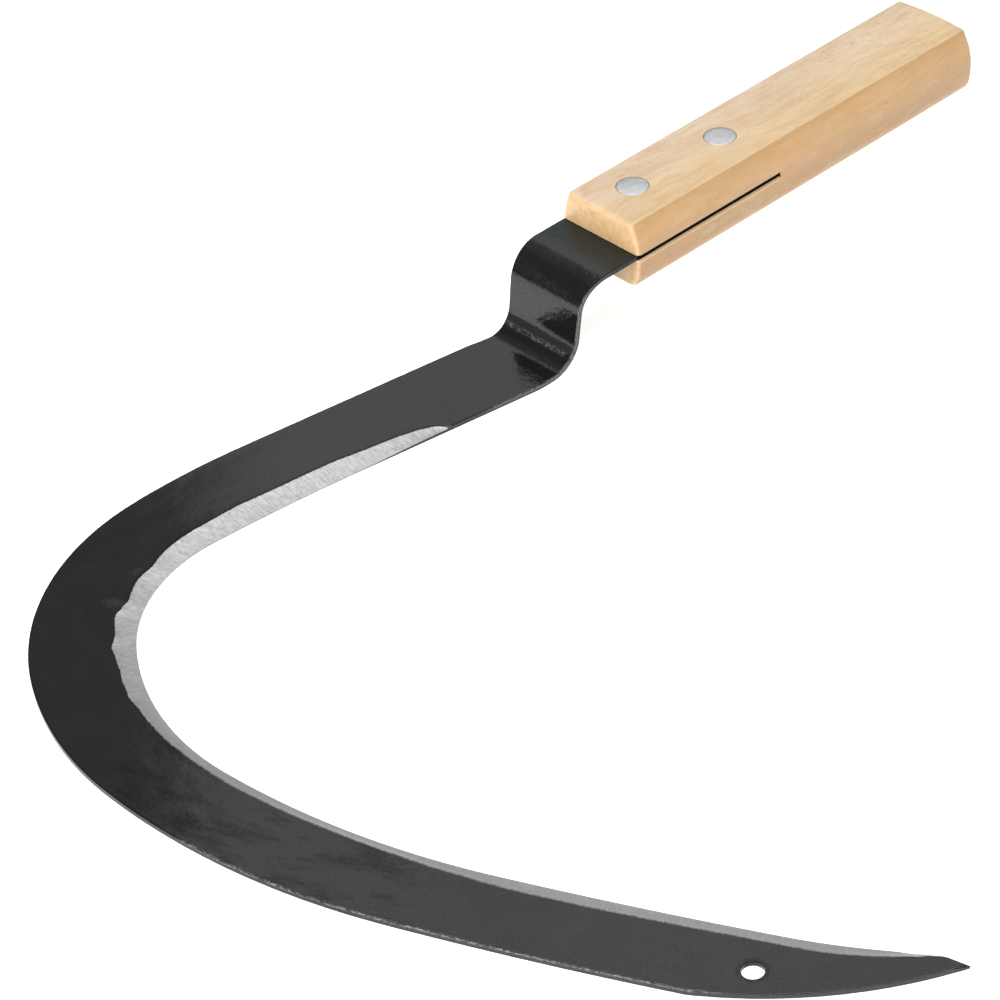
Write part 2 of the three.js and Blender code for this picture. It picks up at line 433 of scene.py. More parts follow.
def grind_at(along):
    """Width of the ground strip and height of the edge; a small chamfer where nothing is ground."""
    places, given_widths = np.array(GRIND_WIDTHS).T
    ground = along > places[0]
    curve = 0.5 * np.interp(along, places, given_widths)
    curve += 0.5 * eased(along, places, given_widths)
    width = np.where(ground, curve, UNGROUND_CHAMFER)
    edge_height = np.interp(along, *np.array(EDGE_HEIGHTS).T)
    land = np.where(ground, edge_height, THICKNESS - UNGROUND_CHAMFER)
    return width, land


def bend_sink(along):
    """How far the upper face lies under true at the start of the upper bend."""
    first, lowest, last = BEND_EASE
    into_bend = max(0, min(1, (along - first) / (lowest - first)))
    out_of_bend = max(0, min(1, (last - along) / (last - lowest)))
    return EASE_DEPTH * smooth(into_bend) * smooth(out_of_bend)


def surface_sink(along, across):
    """Faint waves in the upper face, and a few dents."""
    wave = noise.noise(Vector((along / 21, across / 9, 4.2))) + 1
    sink = WAVE_DEPTH * wave
    for centre, height, long, wide, depth in DENTS:
        away = ((along - centre) / long) ** 2 + ((across - height) / wide) ** 2
        if away < 9:
            sink += depth * math.exp(-away)
    return sink


def cross_section(along, width, border, land):
    """Closed loop of (across, height): underside, spine, upper face, ground strip, edge."""
    border = min(border, 0.72 * width)
    top = THICKNESS - bend_sink(along)
    land -= bend_sink(along)
    wear = RIM_WEAR * noise.noise(Vector((along / 2.3, 1.7, 0)))
    wear += RIM_WEAR * noise.noise(Vector((along / 0.9, 5.1, 0)))
    rim = min(SPINE_RIM + wear, 0.12 * width)
    loop = [(part * width, 0) for part in (0, 0.25, 0.5, 0.75)]
    loop += [(width - 0.5 * rim, 0), (width, 0.5 * rim), (width, top - rim)]
    loop += [(width - 0.3 * rim, top - 0.3 * rim), (width - rim, top)]
    for step in range(1, FACE_STEPS + 1):
        across = (width - rim) + (border - width + rim) * step / FACE_STEPS
        keep = min(1, 8 * (1 - step / FACE_STEPS) + 0.3, 3 * (width - across))
        loop.append((across, top - keep * surface_sink(along, across)))
    edge_of_face = loop[-1][1]
    for part in (0.75, 0.5, 0.25, 0):
        hollow = GRIND_HOLLOW * math.sin(math.pi * part) * min(1, border / 3)
        loop.append((border * part, land + (edge_of_face - land) * part - hollow))
    return loop


def make_blade():
    """The whole strip as one lofted solid, with its three holes cut through."""
    stations = blade_stations()
    span = stations["spine"] - stations["edge"]
    widths = np.hypot(span[:, 0], span[:, 1])
    borders, lands = grind_at(stations["along"])
    points = []
    local = []
    for i, width in enumerate(widths):
        along = stations["along"][i]
        tilt = stations["tilt"][i]
        loop = cross_section(along, width, borders[i], lands[i])
        to_point = (stations["along"][-1] - along) / POINT_TAPER
        share = min(1, POINT_THICKNESS + (1 - POINT_THICKNESS) * to_point)
        for across, height in reversed(loop):
            x, y = stations["edge"][i] + span[i] * across / width
            lift = height * share - THICKNESS / 2
            z = stations["middle"][i] + lift * math.cos(tilt)
            points.append((x - lift * math.sin(tilt), y, z))
            local.append((along, across, height))
    size = len(points) // len(widths)
    blade = make_object("sickle_blade", points, loft_faces(len(widths), size))

    hole = [
        (0, -CUT_OVERRUN),
        (HANG_RADIUS + BORE_RIM, -CUT_OVERRUN),
        (HANG_RADIUS + BORE_RIM, -0.02),
        (HANG_RADIUS, BORE_RIM),
        (HANG_RADIUS, THICKNESS - BORE_RIM),
        (HANG_RADIUS + BORE_RIM, THICKNESS - 0.01),
        (HANG_RADIUS + BORE_RIM, THICKNESS + CUT_OVERRUN),
        (0, THICKNESS + CUT_OVERRUN),
    ]
    tools = [lathe("hole", hole, (*HANG_HOLE, 0), 72)]
    bore = RIVET_RADIUS + RIVET_PLAY
    for x, y in RIVET_PLACES.values():
        profile = [(0, -BORE_REACH), (bore, -BORE_REACH), (bore, BORE_REACH), (0, BORE_REACH)]
        tools.append(lathe("bore", profile, (x, y, TANG_MIDDLE), 48))
    cut(blade, *tools)
    add_strip_coordinates(blade, points, local, stations, widths, borders, size)
    shade(blade, 5)
    return blade


def add_strip_coordinates(blade, points, local, stations, widths, borders, size):
    """Gives each vertex its place on the strip, and the limits of the bright metal there."""
    tree = KDTree(len(points))
    for i, point in enumerate(points):
        tree.insert(Vector(point) * MM + ORIGIN, i)
    tree.balance()
    along_all = stations["along"]
    bright = borders.copy()
    bright_start = np.clip((along_all - BRIGHT_START) / BRIGHT_TAPER * 4, 0, 1)
    bright_end = np.clip((BRIGHT_END - along_all) / BRIGHT_TAPER, 0, 1)
    bright *= np.sqrt(1 - (1 - bright_start) ** 2) * np.sqrt(1 - (1 - bright_end) ** 2)
    bright[(along_all < BRIGHT_START) | (along_all > BRIGHT_END)] = -1
    change = np.clip((along_all - FADE_CHANGE[0]) / (FADE_CHANGE[1] - FADE_CHANGE[0]), 0, 1)
    fade = SHARP_FADE + (SOFT_FADE - SHARP_FADE) * change
    mesh = blade.data
    place = np.zeros((len(mesh.vertices), 3), np.float32)
    limits = np.zeros((len(mesh.vertices), 3), np.float32)
    for i, vertex in enumerate(mesh.vertices):
        _, found, gap = tree.find(vertex.co)
        station = found // size
        along, across, height = local[found]
        # A vertex made by a cut is placed from the nearest one that the strip was built with
        if gap > SAME_PLACE * MM:
            here = (vertex.co - ORIGIN) / MM
            side = Vector((stations["spine"][station] - stations["edge"][station]).tolist())
            side.normalize()
            moved = Vector(here[:2]) - Vector(points[found][:2])
            across += moved.dot(side)
            along += moved.dot(Vector((-side.y, side.x)))
            if here.x < 0:
                height = here.z
        place[i] = along, across, height
        limits[i] = bright[station], fade[station], widths[station] - across
    for name, values in (("strip", place), ("limits", limits)):
        attribute = mesh.attributes.new(name, "FLOAT_VECTOR", "POINT")
        attribute.data.foreach_set("vector", values.ravel())


# ---------------------------------------------------------------- handle


def quadratic(start, control, end, steps):
    """Points of a curve from start up to, not including, end."""
    for i in range(steps):
        t = i / steps
        first, middle, last = (1 - t) ** 2, 2 * t * (1 - t), t * t
        yield tuple(first * a + middle * b + last * c for a, b, c in zip(start, control, end))


def handle_section():
    """Closed outline of (across, up), and how each point moves when the outline shrinks by 1."""
    top = HANDLE_THICKNESS / 2
    side = WIDEST / 2
    edge = TOP_WIDTH / 2
    lower = CORNER_WIDTH / 2
    pull = np.array([side - edge, UPPER_PULL - top])
    pull /= np.hypot(*pull)
    below_edge = (edge + EDGE_ROUNDING * pull[0], top + EDGE_ROUNDING * pull[1])
    right = [
        ((BOTTOM_WIDTH / 2, -top), (lower - CORNER_LEAN, -top), (lower, -top + CORNER_HEIGHT), 12),
        ((lower, -top + CORNER_HEIGHT), (side, -LOWER_PULL), (side, 0), 6),
        ((side, 0), (side, UPPER_PULL), below_edge, 7),
        (below_edge, (edge, top), (edge - EDGE_ROUNDING, top), 3),
        ((edge - EDGE_ROUNDING, top), (edge / 2, top), (0, top), 6),
    ]
    half = [point for piece in right for point in quadratic(*piece)]
    left = [(-across, up) for across, up in reversed(half)]
    along_bottom = np.linspace(-BOTTOM_WIDTH / 2, BOTTOM_WIDTH / 2, 12)[1:-1]
    bottom = [(across, -top) for across in along_bottom]
    outline = np.array(half + [(0, top)] + left + bottom)

    forward = np.roll(outline, -1, 0) - np.roll(outline, 1, 0)
    inward = np.stack([-forward[:, 1], forward[:, 0]], -1)
    inward /= np.hypot(*inward.T)[:, None]
    # Points round an upper edge all move as the sharp edge would
    spread = (1 - pull[0]) / pull[1]
    at_edge = np.hypot(np.abs(outline[:, 0]) - edge, outline[:, 1] - top) < 1.01 * EDGE_ROUNDING
    inward[at_edge, 0] = spread * np.sign(outline[at_edge, 0])
    inward[at_edge, 1] = -1
    return outline, inward


def end_rounding(outline, front):
    """Rounding of an end at each point of the outline."""
    rounding = np.full(len(outline), END_ROUNDING)
    if not front:
        away = np.hypot(np.abs(outline[:, 0]) - TOP_WIDTH / 2, outline[:, 1] - HANDLE_THICKNESS / 2)
        rounding += BUTT_ROUNDING * np.exp(-((away / BUTT_CORNER_REACH) ** 2))
    return rounding


def make_handle():
    """The wooden block, with its ends rounded and the slot and rivet holes cut."""
    outline, inward = handle_section()
    rings = []
    for front in (True, False):
        rounding = end_rounding(outline, front)
        end = []
        for angle in np.linspace(0, math.pi / 2, END_STEPS):
            depth = rounding * (1 - math.cos(angle))
            inset = rounding * (1 - math.sin(angle))
            x = depth if front else HANDLE_LENGTH - depth
            end.append((x, outline + inward * inset[:, None]))
        rings += end if front else end[::-1]
        if front:
            for x in np.linspace(END_ROUNDING, HANDLE_LENGTH - END_ROUNDING, GRIP_STEPS)[1:-1]:
                rings.append((np.full(len(outline), x), outline))
    points = []
    for xs, ring in rings:
        for x, (across, up) in zip(xs, ring):
            points.append((x, across, HANDLE_MIDDLE + up))
    handle = make_object("wooden_handle", points, loft_faces(len(rings), len(outline)))

    tools = [slot_tool()]
    for x, y in RIVET_PLACES.values():
        profile = rivet_profile(RIVET_GAP, CUT_OVERRUN)
        tools.append(lathe("socket", profile, (x, y, HANDLE_MIDDLE)))
    cut(handle, *tools)
    shade(handle, 30)
    return handle


def slot_tool():
    """The sawn slot, with its lower lips falling away outside the tang."""
    low = TANG_MIDDLE - SLOT_HEIGHT / 2
    high = TANG_MIDDLE + SLOT_HEIGHT / 2
    lip = TANG_WIDTH / 2
    before, beside = SLOT_OVERRUN
    out = lip + beside
    fallen = low - LIP_SLOPE * (out - lip)
    section = [(-out, fallen), (-lip, low), (lip, low), (out, fallen), (out, high), (-out, high)]
    corners = [(x, *corner) for x in (-before, SLOT_LENGTH) for corner in section]
    return make_object("slot", corners, loft_faces(2, 6))


# ---------------------------------------------------------------- rivets


def rivet_profile(play, overrun):
    """(radius, height) of a rivet's body, or of its hole when it is given some play."""
    face = HANDLE_THICKNESS / 2 + overrun
    rim = HANDLE_THICKNESS / 2 - HEAD_RIM
    neck = HANDLE_THICKNESS / 2 - HEAD_DEPTH
    return [
        (0, -face),
        (HEAD_RADIUS + play, -face),
        (HEAD_RADIUS + play, -rim + play),
        (RIVET_RADIUS + play, -neck + play),
        (RIVET_RADIUS + play, neck - play),
        (HEAD_RADIUS + play, rim - play),
        (HEAD_RADIUS + play, face),
        (0, face),
    ]


def make_rivet(name, x, y, seed):
    """A rivet whose two domed heads carry the marks of the hammer that spread them."""
    body = rivet_profile(0, 0)[2:-2]
    face = HANDLE_THICKNESS / 2
    # From the middle of a head out over its rounded rim
    dome = []
    for radius in np.linspace(0, HEAD_RADIUS - 0.25, 14):
        dome.append((radius, face + HEAD_DOME * (1 - (radius / HEAD_RADIUS) ** 2)))
    dome += [(HEAD_RADIUS - 0.07, face - 0.05), (HEAD_RADIUS, face - 0.2)]
    lower = [(radius, -height) for radius, height in dome]
    rivet = lathe(name, lower + body + dome[::-1], (x, y, HANDLE_MIDDLE))
    for vertex in rivet.data.vertices:
        here = (vertex.co - ORIGIN) / MM
        up = here.z - HANDLE_MIDDLE
        if abs(up) > face:
            blow = noise.noise(Vector((here.x / 1.7, here.y / 1.7, seed))) + 0.35
            hammered = HAMMER_DEPTH * max(0, blow)
            vertex.co.z -= math.copysign(min(hammered, abs(up) - face) * MM, up)
    shade(rivet, 30)
    return rivet


# ---------------------------------------------------------------- materials


class Paint:
    """Builds one material out of nodes; most methods add a node and return its output socket."""

    def __init__(self, name):
        self.material = bpy.data.materials.new(name)
        self.material.use_nodes = True
        self.tree = self.material.node_tree
        self.tree.nodes.clear()
        self.shader = self.node("ShaderNodeBsdfPrincipled")
        output = self.node("ShaderNodeOutputMaterial")
        self.tree.links.new(self.shader.outputs[0], output.inputs[0])

    def give(self, socket, value):
        if isinstance(value, bpy.types.NodeSocket):
            self.tree.links.new(value, socket)
        else:
            socket.default_value = value

    def node(self, kind, *values, **settings):
        """Values go to the node's sockets in order; None leaves a socket as it is."""
        made = self.tree.nodes.new(kind)
        for key, value in settings.items():
            setattr(made, key, value)
        for socket, value in zip(made.inputs, values):
            if value is not None:
                self.give(socket, value)
        return made

    def set(self, **values):
        """Sets the shader's sockets, named with _ for a space."""
        for name, value in values.items():
            self.give(self.shader.inputs[name.replace("_", " ")], value)

    def attribute(self, name):
        made = self.node("ShaderNodeAttribute", attribute_name=name)
        return made.outputs["Vector"]

    def place(self):
        """Millimetres from the middle of the handle's front face."""
        here = self.node("ShaderNodeTexCoord").outputs["Object"]
        return self.scaled(self.vector("SUBTRACT", here, tuple(ORIGIN)), 1 / MM, 1 / MM, 1 / MM)

    def split(self, vector):
        return self.node("ShaderNodeSeparateXYZ", vector).outputs

    def math(self, operation, *values):
        return self.node("ShaderNodeMath", *values, operation=operation).outputs[0]

    def vector(self, operation, *values):
        return self.node("ShaderNodeVectorMath", *values, operation=operation).outputs[0]

    def scaled(self, vector, x, y, z, turn=0.0):
        """The vector turned about Z by some degrees, then scaled along each axis."""
        if turn:
            angle = (0, 0, math.radians(turn))
            vector = self.node("ShaderNodeMapping", vector, None, angle).outputs[0]
        return self.vector("MULTIPLY", vector, (x, y, z))

    def ramp(self, value, low, high, first=0.0, last=1.0):
        """Goes smoothly from first to last as the value goes from low to high."""
        kind = {"interpolation_type": "SMOOTHSTEP"}
        return self.node("ShaderNodeMapRange", value, low, high, first, last, **kind).outputs[0]

    def noise(self, where, detail=2.0, roughness=0.5):
        return self.node("ShaderNodeTexNoise", where, None, 1.0, detail, roughness).outputs[0]

    def band(self, value, low, high, soft):
        """1 between low and high, falling to 0 over soft on either side."""
        rise = self.ramp(value, low - soft, low)
        return self.product(rise, self.ramp(value, high + soft, high))

    def product(self, *values):
        total = values[0]
        for value in values[1:]:
            total = self.math("MULTIPLY", total, value)
        return total

    def mix(self, factor, first, second):
        skipped = [None] * 5
        made = self.node("ShaderNodeMix", factor, *skipped, first, second, data_type="RGBA")
        return made.outputs[2]

    def layered(self, base, layers):
        """Lays each (mask, colour) over the base in turn."""
        for mask, colour in layers:
            base = self.mix(mask, base, colour)
        return base

    def bump(self, height, distance, normal=None):
        """Distance is in millimetres for a height of 1."""
        made = self.node("ShaderNodeBump")
        self.give(made.inputs["Distance"], distance * MM)
        self.give(made.inputs["Height"], height)
        if normal:
            self.give(made.inputs["Normal"], normal)
        return made.outputs[0]


def grey(value, warmth=0.0):
    """Neutral, or a little warm, or cool where warmth is negative."""
    return (value * (1 + warmth), value, value * (1 - warmth), 1)


def black_scale(value):
    """Slightly green and cool."""
    return (value * 0.93, value * 1.03, value, 1)


def near_line(paint, along, across, start, end, half_width):
    """1 on a straight scratch from start to end, given as (along, across), and 0 off it."""
    length = math.dist(start, end)
    run_along = (end[0] - start[0]) / length
    run_across = (end[1] - start[1]) / length
    gone_along = paint.math("SUBTRACT", along, start[0])
    gone_across = paint.math("SUBTRACT", across, start[1])
    ahead = (paint.product(gone_along, run_along), paint.product(gone_across, run_across))
    aside = (paint.product(gone_along, run_across), paint.product(gone_across, run_along))
    forward = paint.math("ADD", *ahead)
    sideways = paint.math("ABSOLUTE", paint.math("SUBTRACT", *aside))
    on_line = paint.ramp(sideways, half_width, 0.3 * half_width)
    before_end = paint.ramp(forward, length, length - 3)
    return paint.product(on_line, paint.ramp(forward, 0, 1), before_end)


# Where along the strip its marks are, in millimetres from the handle's front face
CRANK_DUST = (14, 44)
UPPER_GLINT = (24.3, 26.6)
LIGHT_FOOT = (38.3, 41.2)
FOOT_GLINT = (41.5, 42.6)
EDGE_WEAR = (23, 70)
DARK_RIM = (215, 290)
STAINS = (270, 345)
SPINE_WEAR = (297, 428)
DENT_SHEENS = [((192.5, 8), 1.8, 1.2), ((205, 9), 1.8, 3.2)]  # (along, across), half length, half width
SCRATCH = ((98, 7), (118, 24))  # from and to, each (along, across)


def read_strip(paint):
    """The blade's own coordinates, and the noises and masks that several of its marks share."""
    strip = paint.attribute("strip")
    along, across, height = paint.split(strip)
    border, fade, from_spine = paint.split(paint.attribute("limits"))
    on_top = paint.ramp(height, 1.0, 1.5)
    return SimpleNamespace(
        strip=strip,
        along=along,
        across=across,
        height=height,
        border=border,
        fade=fade,
        chips=paint.noise(paint.scaled(strip, 0.9, 2.2, 2.2), 5, 0.7),
        grain=paint.noise(paint.scaled(strip, 3.1, 3.1, 3.1), 3, 0.6),
        crumbs=paint.noise(paint.scaled(strip, 1.5, 1.5, 1.5), 3, 0.6),
        cloud=paint.noise(paint.scaled(strip, 0.09, 0.14, 0.1), 4, 0.55),
        pitting=paint.noise(paint.scaled(strip, 1.3, 1.3, 1.3), 4, 0.7),
        # Painted shade on the tang where it sits in the slot
        shade_in_slot=paint.ramp(along, 0.4, -0.4),
        by_handle=paint.ramp(along, 15.5, 7),
        spine_corner=paint.product(paint.ramp(from_spine, 0.9, 0.15), on_top),
    )


def inside_border(paint, at):
    """Millimetres inside the ragged border of the bright metal."""
    ragged = paint.noise(paint.scaled(at.strip, 1.4, 0.5, 1), 4, 0.65)
    ragged = paint.math("MULTIPLY_ADD", ragged, 0.9, -0.45)
    return paint.math("ADD", paint.math("SUBTRACT", at.border, at.across), ragged)


def bright_metal(paint, at, inside):
    """1 where the steel is ground bright, and 0 on the black and on the wall under the edge."""
    land = paint.ramp(at.along, 92, 124, 1.2, 0.35)
    off_wall = paint.ramp(paint.math("SUBTRACT", at.height, land), -0.3, -0.08)
    ground = paint.ramp(inside, paint.math("MULTIPLY", at.fade, -1), at.fade)
    return paint.product(ground, off_wall)


def dust_on_steel(paint, at):
    """Fine light specks, and flakes on the crank."""
    specks = paint.ramp(at.grain, 0.66, 0.74, 0, 0.3)
    on_crank = paint.band(at.along, *CRANK_DUST, 3)
    flakes = paint.product(paint.ramp(at.crumbs, 0.72, 0.78), on_crank, 0.5)
    return paint.math("MAXIMUM", specks, flakes)


def lighter_stripes(paint, at):
    """Lighter stripes across the strip: a ragged painted highlight below the upper bend, and a
    lighter band above the foot.
    """
    leaning = paint.math("MULTIPLY_ADD", at.across, 0.12, at.along)
    upper = paint.band(leaning, *UPPER_GLINT, 1.2)
    upper = paint.product(upper, paint.ramp(at.chips, 0.44, 0.6), 0.5)
    lower = paint.product(paint.band(at.along, *LIGHT_FOOT, 0.8), 0.55)
    return paint.math("MAXIMUM", upper, lower)


def foot_glint(paint, at):
    """A broken light line across the foot of the riser: partly scuffs, partly a painted highlight
    along the bend.
    """
    line = paint.product(paint.band(at.along, *FOOT_GLINT, 0.6), paint.band(at.across, 3, 27, 1.5))
    blobs = paint.product(line, paint.ramp(at.crumbs, 0.45, 0.65), 0.28)
    sparks = paint.product(line, paint.ramp(at.grain, 0.56, 0.66), 0.55)
    return paint.math("MAXIMUM", blobs, sparks)


def dent_sheen(paint, at, centre, half_length, half_width):
    """Painted sheen: a soft light spot beside a dent."""
    away_along = paint.math("DIVIDE", paint.math("SUBTRACT", at.along, centre[0]), half_length)
    away_across = paint.math("DIVIDE", paint.math("SUBTRACT", at.across, centre[1]), half_width)
    squares = (paint.product(away_along, away_along), paint.product(away_across, away_across))
    near = paint.ramp(paint.math("ADD", *squares), 1.6, 0)
    return paint.product(near, paint.ramp(at.chips, 0.3, 0.7), 0.4)


def worn_spine(paint, at):
    """Bare specks along the corner of the blade's back."""
    worn = paint.product(paint.band(at.along, *SPINE_WEAR, 6), paint.ramp(at.chips, 0.44, 0.68))
    return paint.product(at.spine_corner, worn, 0.8)


def worn_edge(paint, at):
    """Wear on the side of the strip that faces the crook."""
    wall = paint.product(paint.ramp(at.across, 0.45, 0.1), paint.band(at.along, *EDGE_WEAR, 8))
    wall = paint.product(wall, paint.ramp(at.height, 0.35, 0.7))
    return paint.product(wall, paint.ramp(at.chips, 0.36, 0.62), 0.8)


def black_colour(paint, at):
    """The lacquer, with all that lightens it laid over it: dust, wear and a scratch, and painted
    sheen and highlights; painted shade darkens it in the slot.
    """
    scratch = near_line(paint, at.along, at.across, *SCRATCH, 0.12)
    layers = [
        # Painted sheen: the black lightens toward the point
        (paint.ramp(at.along, 325, 430, 0, 0.75), black_scale(0.023)),
        # Painted highlight below the upper bend, and a lighter band above the foot
        (lighter_stripes(paint, at), black_scale(0.03)),
        (at.by_handle, black_scale(0.02)),
        # Painted shade on the tang inside the slot
        (at.shade_in_slot, black_scale(0.002)),
        (dust_on_steel(paint, at), black_scale(0.16)),
        # Painted highlight along the lower bend, partly scuffs
        (foot_glint(paint, at), grey(0.3)),
        # Painted sheen beside the dents
        *((dent_sheen(paint, at, *spot), black_scale(0.08)) for spot in DENT_SHEENS),
        (paint.product(scratch, 0.25), black_scale(0.06)),
        (worn_spine(paint, at), grey(0.38)),
        (worn_edge(paint, at), grey(0.16)),
    ]
    clouded = paint.mix(at.cloud, black_scale(0.0062), black_scale(0.0125))
    return paint.layered(clouded, layers)


def grinding_strokes(paint, at):
    """Coarse and fine strokes of the grinder, nearly square across the ground strip."""
    coarse = paint.noise(paint.scaled(at.strip, 2.2, 0.3, 1, 9), 3, 0.6)
    fine = paint.noise(paint.scaled(at.strip, 6.0, 0.9, 1, 9), 2, 0.5)
    return paint.math("ADD", paint.product(coarse, 0.6), paint.product(fine, 0.4))


def ground_colour(paint, at, strokes):
    """Bright steel, calmer and lighter beyond the bend, where the lightness is painted sheen, with
    painted glints, and dimmer at the point.
    """
    sparkle = paint.noise(paint.scaled(at.strip, 4.5, 3, 1), 1)
    layers = [
        (paint.ramp(at.along, 200, 260, 0, 0.6), grey(0.375, -0.01)),
        # Painted glints
        (paint.ramp(sparkle, 0.66, 0.72, 0, 0.6), grey(0.75)),
    ]
    metal = paint.mix(paint.ramp(strokes, 0.32, 0.68), grey(0.27, -0.01), grey(0.48, -0.01))
    metal = paint.layered(metal, layers)
    # Painted sheen: lighter beyond the bend
    beyond_bend = paint.ramp(at.along, 240, 275, 1.0, 1.24)
    at_point = paint.ramp(at.along, 462, 476, 1.0, 0.82)
    return paint.vector("SCALE", metal, None, None, paint.product(beyond_bend, at_point))


def steel_relief(paint, at, strokes, bright):
    """Slow waves, orange peel on the crank, fine pits, and the grinder's strokes."""
    waves = paint.noise(paint.scaled(at.strip, 0.16, 0.22, 0.2), 2)
    peel = paint.noise(paint.scaled(at.strip, 0.55, 0.55, 0.55), 3, 0.55)
    peel = paint.product(peel, paint.ramp(at.along, 75, 55, 0.02, 1))
    pits = paint.product(at.pitting, paint.ramp(at.along, 190, 150, 0.25, 1))
    relief = paint.bump(waves, 0.05)
    relief = paint.bump(peel, 0.08, relief)
    relief = paint.bump(pits, 0.022, relief)
    return paint.bump(paint.product(strokes, bright), 0.02, relief)


def steel_shine(paint, at, inside):
    """How much the lacquer mirrors: less beside the grind, in stains and where it is shaded."""
    fringe = paint.band(inside, -0.75, -0.4, 0.3)
    fringe = paint.product(fringe, paint.ramp(at.along, 215, 190), paint.ramp(at.border, 0, 1))
    stains = paint.noise(paint.scaled(at.strip, 0.07, 0.2, 1, 14), 4, 0.6)
    stains = paint.product(paint.ramp(stains, 0.45, 0.62), paint.band(at.along, *STAINS, 15))
    from_hole = paint.vector("SUBTRACT", paint.place(), (*HANG_HOLE, THICKNESS))
    from_hole = paint.node("ShaderNodeVectorMath", from_hole, operation="LENGTH").outputs["Value"]
    ring = paint.band(from_hole, HANG_RADIUS + 0.1, HANG_RADIUS + 0.9, 0.7)
    ring = paint.product(ring, paint.ramp(at.crumbs, 0.35, 0.6))
    dark_rim = paint.product(at.spine_corner, paint.band(at.along, *DARK_RIM, 12))
    shine = paint.ramp(fringe, 0, 1, 0.5, 0.22)
    losses = [(at.by_handle, 0.3), (at.shade_in_slot, 0.19), (stains, 0.2), (ring, 0.3), (dark_rim, 0.3)]
    for mask, loss in losses:
        shine = paint.math("SUBTRACT", shine, paint.product(mask, loss))
    mottle = paint.math("MULTIPLY_ADD", at.pitting, 0.7, -0.35)
    mottle = paint.product(mottle, paint.math("SUBTRACT", 1.0, at.shade_in_slot))
    return paint.math("ADD", shine, mottle)


def blackened_steel():
    """Glossy black lacquer over steel, bright where the edge is ground or a corner is worn."""
    paint = Paint("blackened_steel")
    at = read_strip(paint)
    inside = inside_border(paint, at)
    bright = bright_metal(paint, at, inside)
    strokes = grinding_strokes(paint, at)
    gloss = paint.ramp(at.cloud, 0.3, 0.7, 0.08, 0.13)
    gloss = paint.math("ADD", gloss, paint.product(at.by_handle, 0.14))
    paint.set(
        Base_Color=paint.mix(bright, black_colour(paint, at), ground_colour(paint, at, strokes)),
        Metallic=paint.product(bright, 0.85),
        Roughness=paint.ramp(bright, 0, 1, gloss, 0.4),
        Specular_IOR_Level=steel_shine(paint, at, inside),
        Specular_Tint=paint.mix(at.by_handle, (0.95, 1.0, 0.98, 1), (0.72, 0.95, 1.0, 1)),
        Normal=steel_relief(paint, at, strokes, bright),
    )
    return paint.material


# Colours of the wood
FACE_NEAR = (0.72, 0.525, 0.29, 1)
FACE_FAR = (0.735, 0.595, 0.44, 1)
SIDE_SHADE_LOW = (0.41, 0.23, 0.085, 1)
SIDE_HIGH = (0.725, 0.435, 0.185, 1)
FRONT_END = (0.79, 0.53, 0.27, 1)
BROAD_BROWN = (0.5, 0.3, 0.14, 1)
WARM_BLOTCH = (0.66, 0.34, 0.13, 1)
PALE_BLOTCH = (0.74, 0.54, 0.31, 1)
FIGURE_BROWN = (0.47, 0.29, 0.14, 1)
PORE_BROWN = (0.36, 0.21, 0.1, 1)
FLECK_BROWN = (0.4, 0.22, 0.09, 1)
# painted highlight, partly worn wood, along the broken edges
EDGE_HIGHLIGHT = (0.78, 0.6, 0.42, 1)
# painted light that lifts the shadow on the slot's lower lips
SLOT_LIP_LIGHT = (0.9, 0.62, 0.34, 1)
# painted shade on the walls inside the slot
SLOT_SHADE = (0.012, 0.008, 0.006, 1)


def bare_wood(paint, x, across, up):
    """The wood's colour before its grain: each face of the block has its own, and the sides carry
    painted shade, darker toward the bottom.
    """
    top = HANDLE_MIDDLE + HANDLE_THICKNESS / 2
    upper_face = paint.mix(paint.ramp(across, -14, 14), FACE_NEAR, FACE_FAR)
    # Painted shade: the sides darken toward the bottom
    sides = paint.mix(paint.ramp(up, top - 19, top - 3), SIDE_SHADE_LOW, SIDE_HIGH)
    sides = paint.mix(paint.ramp(x, 1.4, 0.2), sides, FRONT_END)
    return paint.mix(paint.ramp(up, top - 0.4, top - 0.1), sides, upper_face)


def grain_layers(paint, straight, swaying, figure, pores):
    """What the grain lays over the bare wood: broad bands, blotches, figure, pores and flecks."""
    broad = paint.noise(paint.scaled(swaying, 0.014, 0.11, 0.11, 2.5), 3, 0.5)
    sheared = paint.scaled(swaying, 0.07, 0.2, 0.2)
    sheared = paint.vector("ADD", sheared, paint.scaled(swaying, 0, 0.05, 0.05))
    sheared = paint.vector("ADD", sheared, paint.scaled(straight, 0.03, 0, 0))
    blotches = paint.noise(sheared, 3, 0.6)
    flecks = paint.noise(paint.scaled(straight, 0.55, 1.5, 2.3, 18), 3, 0.6)
    fleck_patches = paint.noise(paint.scaled(straight, 0.03, 0.08, 0.08), 1)
    fleck_patches = paint.ramp(fleck_patches, 0.45, 0.6)
    return [
        (paint.ramp(broad, 0.35, 0.7, 0, 0.28), BROAD_BROWN),
        (paint.ramp(blotches, 0.45, 0.68, 0, 0.3), WARM_BLOTCH),
        (paint.ramp(blotches, 0.5, 0.34, 0, 0.2), PALE_BLOTCH),
        (paint.ramp(figure, 0.42, 0.66, 0, 0.25), FIGURE_BROWN),
        (paint.ramp(pores, 0.58, 0.72, 0, 0.16), PORE_BROWN),
        (paint.product(paint.ramp(flecks, 0.56, 0.68), fleck_patches, 0.42), FLECK_BROWN),
    ]


